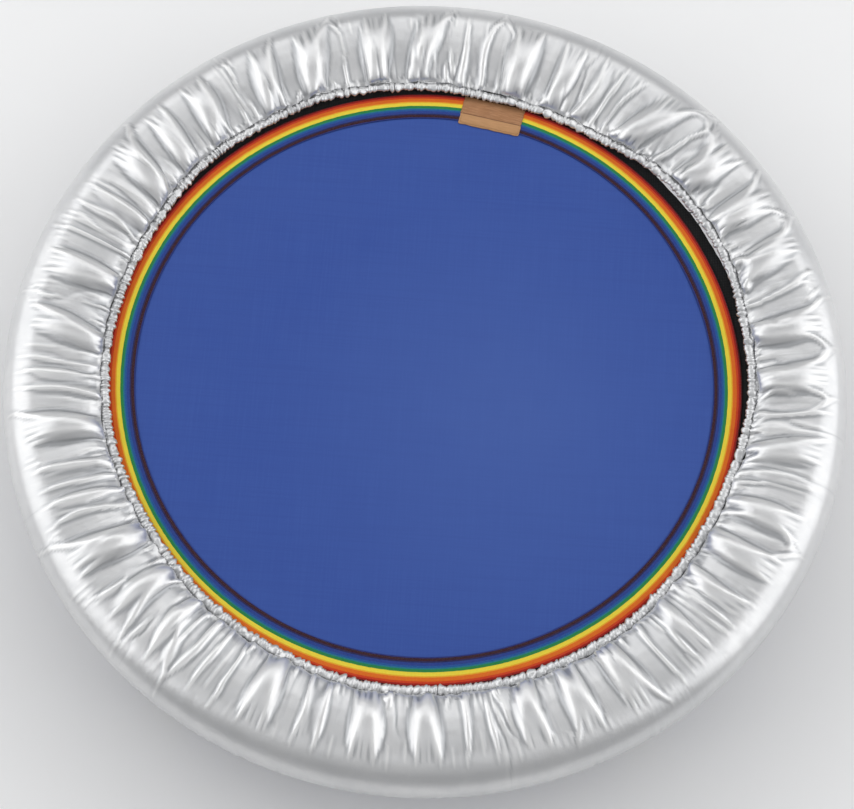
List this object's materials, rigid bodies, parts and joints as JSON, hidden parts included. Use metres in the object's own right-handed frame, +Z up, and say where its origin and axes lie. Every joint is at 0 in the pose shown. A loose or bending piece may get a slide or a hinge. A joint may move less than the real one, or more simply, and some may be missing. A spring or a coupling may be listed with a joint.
{
  "type": "mini trampoline",
  "caption": "Round mini trampoline: steel ring on folding legs, blue spring-hung jumping mat with a striped webbing edge, and a padded silver cover gathered on elastic.",
  "frame": {"origin": "middle of the ring, on the floor under it", "axes": "+Z up along the ring's axis; +Y from the middle towards leg 1; +X to the right"},
  "size_m": [1.0374, 1.0374, 0.218],
  "materials": {
    "ring_steel": "silver-grey powder coat, satin",
    "leg_steel": "silver-grey powder coat, satin",
    "zinc_fastener": "bright zinc plate",
    "spring_steel": "bright zinc-plated spring wire",
    "foot_rubber": "matt black moulded rubber",
    "mat_fabric": "royal blue close-woven jumping fabric, slight sheen",
    "webbing_stripes": "woven webbing with red, orange, yellow, green, teal, blue and dark maroon stripes",
    "strap_black": "coarse black polyester webbing",
    "label_tan": "tan leather-like patch, matt",
    "foam": "cream open-cell foam",
    "cover_silver": "silver metallic coated fabric, satin gloss",
    "elastic_white": "white braided elastic"
  },
  "bodies": {
    "frame": {"frame_ring": "ring_steel", "leg_bracket_1": "ring_steel", "leg_bracket_2": "ring_steel", "leg_bracket_3": "ring_steel", "leg_bracket_4": "ring_steel", "leg_bracket_5": "ring_steel", "pivot_bolt_1": "zinc_fastener", "pivot_bolt_2": "zinc_fastener", "pivot_bolt_3": "zinc_fastener", "pivot_bolt_4": "zinc_fastener", "pivot_bolt_5": "zinc_fastener", "foam_pad": "foam", "edge_cover": "cover_silver", "inner_hem_elastic": "elastic_white", "outer_hem_elastic": "elastic_white", "tension_spring_01": "spring_steel", "tension_spring_02": "spring_steel", "tension_spring_03": "spring_steel", "tension_spring_04": "spring_steel", "tension_spring_05": "spring_steel", "tension_spring_06": "spring_steel", "tension_spring_07": "spring_steel", "tension_spring_08": "spring_steel", "tension_spring_09": "spring_steel", "tension_spring_10": "spring_steel", "tension_spring_11": "spring_steel", "tension_spring_12": "spring_steel", "tension_spring_13": "spring_steel", "tension_spring_14": "spring_steel", "tension_spring_15": "spring_steel", "tension_spring_16": "spring_steel", "tension_spring_17": "spring_steel", "tension_spring_18": "spring_steel", "tension_spring_19": "spring_steel", "tension_spring_20": "spring_steel", "tension_spring_21": "spring_steel", "tension_spring_22": "spring_steel", "tension_spring_23": "spring_steel", "tension_spring_24": "spring_steel", "tension_spring_25": "spring_steel", "tension_spring_26": "spring_steel", "tension_spring_27": "spring_steel", "tension_spring_28": "spring_steel", "tension_spring_29": "spring_steel", "tension_spring_30": "spring_steel"},
    "mat": {"jump_mat": "mat_fabric", "rainbow_webbing": "webbing_stripes", "loop_strap_with_rings": "strap_black", "label_patch": "label_tan"},
    "leg_1": {"leg_tube_1": "leg_steel", "rubber_foot_1": "foot_rubber"},
    "leg_2": {"leg_tube_2": "leg_steel", "rubber_foot_2": "foot_rubber"},
    "leg_3": {"leg_tube_3": "leg_steel", "rubber_foot_3": "foot_rubber"},
    "leg_4": {"leg_tube_4": "leg_steel", "rubber_foot_4": "foot_rubber"},
    "leg_5": {"leg_tube_5": "leg_steel", "rubber_foot_5": "foot_rubber"}
  },
  "joints": [
    {"name": "mat_bounce", "type": "slide", "parent": "frame", "child": "mat", "axis": [0, 0, -1], "range_m": [0, 0.06], "stiffness_N_per_m": 10000, "deforming": ["tension_spring_01", "tension_spring_02", "tension_spring_03", "tension_spring_04", "tension_spring_05", "tension_spring_06", "tension_spring_07", "tension_spring_08", "tension_spring_09", "tension_spring_10", "tension_spring_11", "tension_spring_12", "tension_spring_13", "tension_spring_14", "tension_spring_15", "tension_spring_16", "tension_spring_17", "tension_spring_18", "tension_spring_19", "tension_spring_20", "tension_spring_21", "tension_spring_22", "tension_spring_23", "tension_spring_24", "tension_spring_25", "tension_spring_26", "tension_spring_27", "tension_spring_28", "tension_spring_29", "tension_spring_30"]},
    {"name": "leg_fold_1", "type": "hinge", "parent": "frame", "child": "leg_1", "pos_m": [0, 0.479, 0.144], "axis": [-0.1822, 0.9833, 0], "range_deg": [0, 90]},
    {"name": "leg_fold_2", "type": "hinge", "parent": "frame", "child": "leg_2", "pos_m": [-0.45556, 0.14802, 0.144], "axis": [0.8788, -0.4772, 0], "range_deg": [0, 90]},
    {"name": "leg_fold_3", "type": "hinge", "parent": "frame", "child": "leg_3", "pos_m": [-0.28155, -0.38752, 0.144], "axis": [-0.4305, -0.9026, 0], "range_deg": [0, 90]},
    {"name": "leg_fold_4", "type": "hinge", "parent": "frame", "child": "leg_4", "pos_m": [0.28155, -0.38752, 0.144], "axis": [-0.4305, 0.9026, 0], "range_deg": [0, 90]},
    {"name": "leg_fold_5", "type": "hinge", "parent": "frame", "child": "leg_5", "pos_m": [0.45556, 0.14802, 0.144], "axis": [0.8788, 0.4772, 0], "range_deg": [0, 90]}
  ]
}
